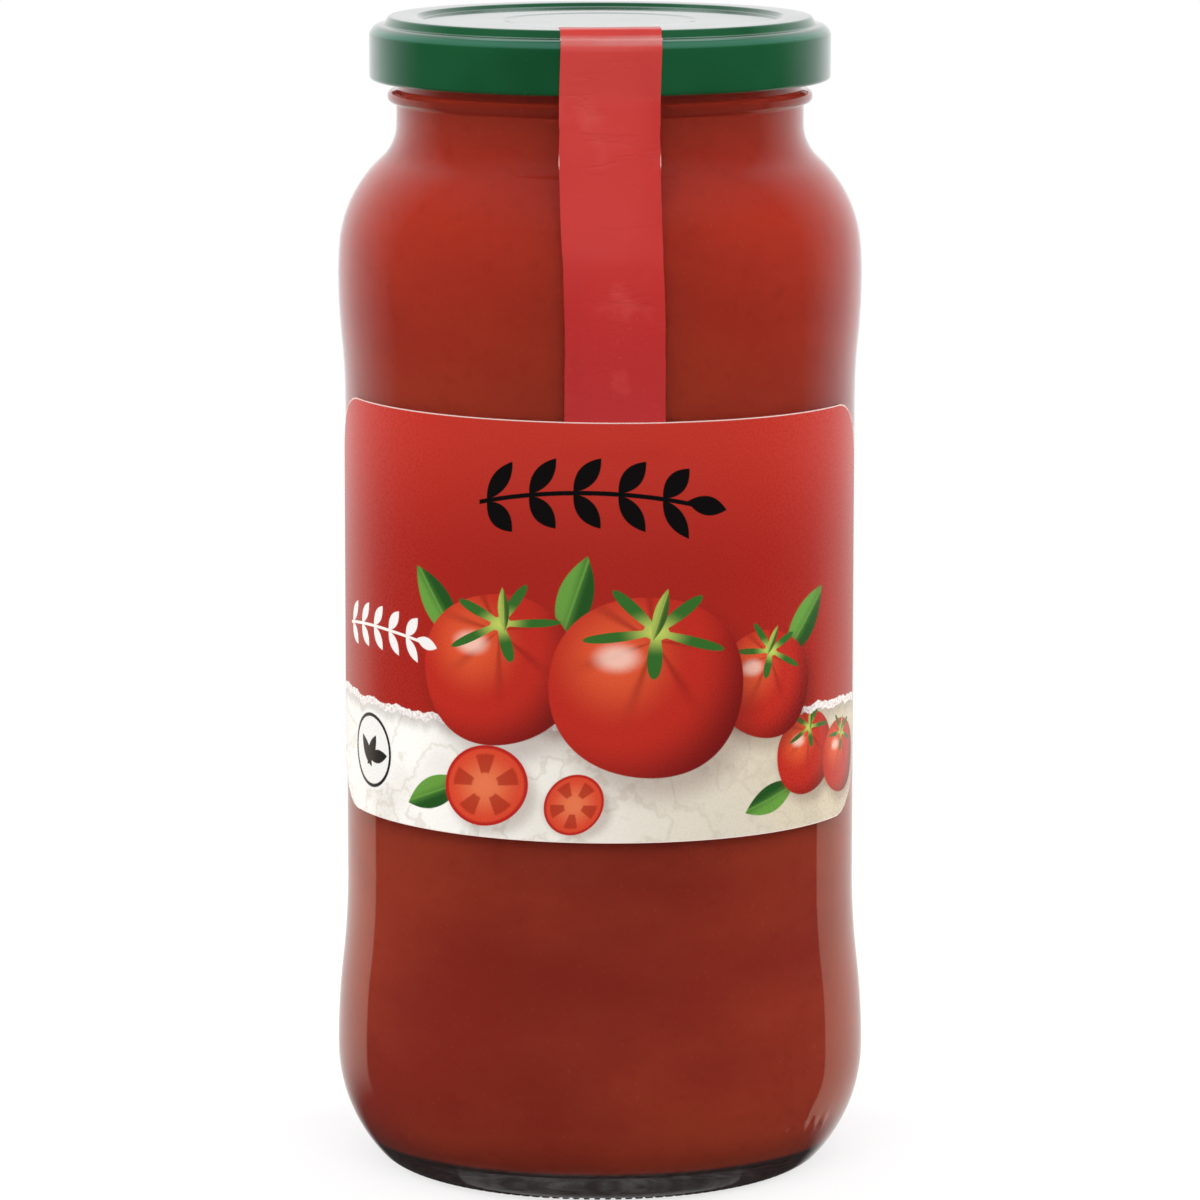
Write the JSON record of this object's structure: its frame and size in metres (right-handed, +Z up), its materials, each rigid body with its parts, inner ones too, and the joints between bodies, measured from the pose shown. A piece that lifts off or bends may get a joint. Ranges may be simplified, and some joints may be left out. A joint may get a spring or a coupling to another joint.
{
  "type": "jar of fried tomato sauce",
  "caption": "Shut round glass jar full of tomato sauce, with a twist-off metal lid, a wrap label and a paper seal strip from the lid down to the label.",
  "frame": {"origin": "on the jar's axis, at the plane of the bearing ring that it stands on", "axes": "+Z up along the jar's axis; the front, with the middle of the label and the seal strip, faces -Y; +X is to the right of someone who looks at the front"},
  "size_m": [0.0764, 0.0764, 0.1664],
  "materials": {
    "clear_glass": "polished",
    "tomato_sauce": "satin",
    "green_lid": "gloss",
    "label_paper": "satin",
    "seal_paper": "satin"
  },
  "bodies": {
    "root": {"glass_jar": "clear_glass", "sauce": "tomato_sauce", "lid": "green_lid", "label": "label_paper", "seal_strip": "seal_paper"}
  },
  "joints": []
}
